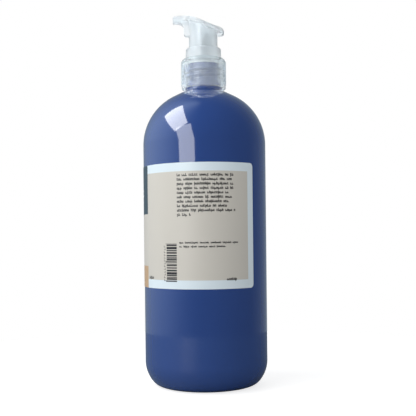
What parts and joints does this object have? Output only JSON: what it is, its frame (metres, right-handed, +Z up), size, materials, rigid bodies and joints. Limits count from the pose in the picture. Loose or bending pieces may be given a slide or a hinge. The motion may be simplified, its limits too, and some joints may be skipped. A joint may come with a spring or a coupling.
{
  "type": "pump oil bottle",
  "caption": "Round blue one-litre bottle for massage oil, with a wrap-round label, a ribbed screw closure and a translucent lotion pump whose head is pressed down.",
  "frame": {"origin": "centre of the base, on the surface that the bottle stands on", "axes": "+Z up along the bottle's axis; the spout points along -X; the front of the label faces between -X and +Y"},
  "size_m": [0.0858, 0.086, 0.2589],
  "materials": {
    "bottle_blue": "opaque royal blue polyethylene, smooth and glossy",
    "label_film": "printed film label, beige-grey with a pale border",
    "pump_natural": "uncoloured polypropylene, milky and translucent",
    "seal_white": "soft white polyethylene",
    "tube_clear": "clear polyethylene tube",
    "spring_steel": "stainless spring wire",
    "ball_steel": "polished stainless ball"
  },
  "bodies": {
    "bottle": {"bottle": "bottle_blue", "label": "label_film"},
    "pump": {"housing": "pump_natural", "collar": "pump_natural", "neck_gasket": "seal_white", "stem_wiper": "seal_white", "ball_cage": "pump_natural", "dip_tube": "tube_clear", "return_spring": "spring_steel"},
    "closure": {"closure": "pump_natural"},
    "piston": {"piston": "seal_white"},
    "head": {"head": "pump_natural", "stem": "pump_natural", "piston_retainer": "pump_natural"},
    "inlet_ball": {"inlet_ball": "ball_steel"},
    "outlet_ball": {"outlet_ball": "ball_steel"}
  },
  "joints": [
    {"name": "pump_rise", "type": "slide", "parent": "bottle", "child": "pump", "axis": [0, 0, 1], "range_m": [0, 0.0072]},
    {"name": "closure_turn", "type": "hinge", "parent": "pump", "child": "closure", "pos_m": [0, 0, 0.2178], "axis": [0, 0, 1], "range_deg": [0, 600]},
    {"name": "head_stroke", "type": "slide", "parent": "pump", "child": "piston", "axis": [0, 0, 1], "range_m": [-0.007, 0], "stiffness_N_per_m": 600, "springref_m": 0.008, "deforming": ["return_spring"]},
    {"name": "head_turn", "type": "hinge", "parent": "piston", "child": "head", "pos_m": [0, 0, 0.24], "axis": [0, 0, 1], "continuous": true},
    {"name": "inlet_lift", "type": "slide", "parent": "pump", "child": "inlet_ball", "axis": [0, 0, 1], "range_m": [0, 0.0015]},
    {"name": "outlet_lift", "type": "slide", "parent": "head", "child": "outlet_ball", "axis": [0, 0, 1], "range_m": [0, 0.0012]}
  ],
  "couplings": [
    {"joint": "pump_rise", "follows": "closure_turn", "m_per_rad": 0.0006737}
  ]
}
